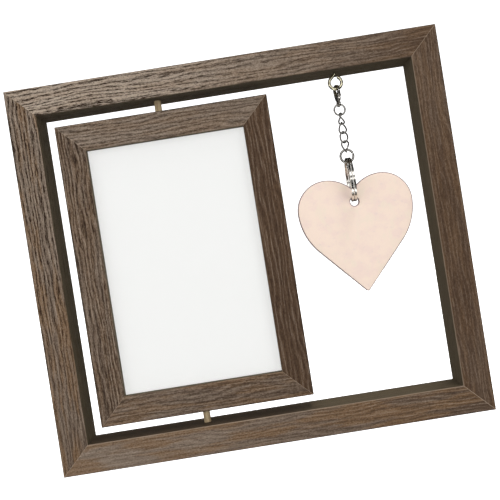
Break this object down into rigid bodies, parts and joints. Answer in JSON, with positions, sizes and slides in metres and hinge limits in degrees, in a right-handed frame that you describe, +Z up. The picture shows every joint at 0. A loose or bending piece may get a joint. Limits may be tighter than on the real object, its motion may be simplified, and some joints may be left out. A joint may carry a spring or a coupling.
{
  "type": "rotating picture frame with pendant",
  "caption": "Standing wooden frame in which a small double-sided picture frame spins on dowels beside a heart pendant on a chain.",
  "frame": {"origin": "on the ground under the middle of the outer frame's foot", "axes": "+X along the frame's width towards the pendant, +Y to the back, +Z up"},
  "size_m": [0.242, 0.025, 0.216],
  "materials": {
    "wrapped_moulding": "wood-grain wrap, satin",
    "plain_dowel": "unfinished",
    "pane_glass": "clear polished",
    "white_card": "matt card",
    "hardboard": "plain hardboard",
    "pale_heart_blank": "smooth, unfinished",
    "plain_steel": "zinc plated",
    "bright_nickel": "polished nickel plate"
  },
  "bodies": {
    "outer_frame": {"outer_bottom_rail": "wrapped_moulding", "outer_left_stile": "wrapped_moulding", "outer_top_rail": "wrapped_moulding", "outer_right_stile": "wrapped_moulding", "outer_corner_nails": "plain_steel", "screw_eye": "bright_nickel"},
    "inner_frame": {"inner_bottom_rail": "wrapped_moulding", "inner_left_stile": "wrapped_moulding", "inner_top_rail": "wrapped_moulding", "inner_right_stile": "wrapped_moulding", "inner_corner_nails": "plain_steel", "bottom_dowel": "plain_dowel", "top_dowel": "plain_dowel", "turn_button_screws": "plain_steel", "front_pane": "pane_glass", "front_print": "white_card", "centre_board": "hardboard", "back_print": "white_card", "back_pane": "pane_glass"},
    "button_left_low": {"turn_button_left_low": "plain_steel"},
    "button_left_high": {"turn_button_left_high": "plain_steel"},
    "button_right_low": {"turn_button_right_low": "plain_steel"},
    "button_right_high": {"turn_button_right_high": "plain_steel"},
    "clasp": {"clasp_body": "bright_nickel", "clasp_pin": "bright_nickel", "clasp_spring": "bright_nickel"},
    "lever": {"clasp_lever": "bright_nickel"},
    "upper_ring": {"upper_jump_ring": "bright_nickel"},
    "link_1": {"chain_link_1": "bright_nickel"},
    "link_2": {"chain_link_2": "bright_nickel"},
    "link_3": {"chain_link_3": "bright_nickel"},
    "link_4": {"chain_link_4": "bright_nickel"},
    "lower_ring": {"lower_jump_ring": "bright_nickel"},
    "key_ring": {"split_ring": "bright_nickel"},
    "heart": {"heart": "pale_heart_blank"}
  },
  "joints": [
    {"name": "frame_spin", "type": "hinge", "parent": "outer_frame", "child": "inner_frame", "pos_m": [-0.0385, 0, 0], "axis": [0, 0, 1], "continuous": true},
    {"name": "turn_left_low", "type": "hinge", "parent": "inner_frame", "child": "button_left_low", "pos_m": [-0.0929, 0.00645, 0.06215], "axis": [0, 1, 0], "range_deg": [-90, 90]},
    {"name": "turn_left_high", "type": "hinge", "parent": "inner_frame", "child": "button_left_high", "pos_m": [-0.0929, 0.00645, 0.15405], "axis": [0, 1, 0], "range_deg": [-90, 90]},
    {"name": "turn_right_low", "type": "hinge", "parent": "inner_frame", "child": "button_right_low", "pos_m": [0.0187, 0.00645, 0.06215], "axis": [0, -1, 0], "range_deg": [-90, 90]},
    {"name": "turn_right_high", "type": "hinge", "parent": "inner_frame", "child": "button_right_high", "pos_m": [0.0187, 0.00645, 0.15405], "axis": [0, -1, 0], "range_deg": [-90, 90]},
    {"name": "clasp_swing", "type": "hinge", "parent": "outer_frame", "child": "clasp", "pos_m": [0.063, 0, 0.1909], "axis": [1, 0, 0], "range_deg": [-60, 60]},
    {"name": "lever_press", "type": "hinge", "parent": "clasp", "child": "lever", "pos_m": [0.06326, -0.0007, 0.1854], "axis": [-0.9397, -0.342, 0], "range_deg": [0, 28], "stiffness_Nm_per_rad": 0.012, "springref_deg": -11.46, "deforming": ["clasp_spring"]},
    {"name": "upper_ring_swing", "type": "hinge", "parent": "clasp", "child": "upper_ring", "pos_m": [0.063, 0, 0.18105], "axis": [0, -1, 0], "range_deg": [-5.5, 8]},
    {"name": "link_1_swing", "type": "hinge", "parent": "upper_ring", "child": "link_1", "pos_m": [0.063, 0, 0.176], "axis": [-1, 0, 0], "range_deg": [-30, 30]},
    {"name": "link_2_swing", "type": "hinge", "parent": "link_1", "child": "link_2", "pos_m": [0.063, 0, 0.17075], "axis": [0.9659, 0.2588, 0], "range_deg": [-25, 25]},
    {"name": "link_3_swing", "type": "hinge", "parent": "link_2", "child": "link_3", "pos_m": [0.063, 0, 0.16545], "axis": [-0.9063, 0.4226, 0], "range_deg": [-20, 20]},
    {"name": "link_4_swing", "type": "hinge", "parent": "link_3", "child": "link_4", "pos_m": [0.063, 0, 0.16015], "axis": [0.5736, -0.8192, 0], "range_deg": [-10, 10]},
    {"name": "lower_ring_swing", "type": "hinge", "parent": "link_4", "child": "lower_ring", "pos_m": [0.063, 0, 0.15485], "axis": [0, 1, 0], "range_deg": [-12, 10]},
    {"name": "key_ring_swing", "type": "hinge", "parent": "lower_ring", "child": "key_ring", "pos_m": [0.063, 0, 0.14875], "axis": [1, 0, 0], "range_deg": [-35, 35]},
    {"name": "heart_swing", "type": "hinge", "parent": "key_ring", "child": "heart", "pos_m": [0.063, 0, 0.12625], "axis": [0, 1, 0], "range_deg": [-40, 40]}
  ]
}
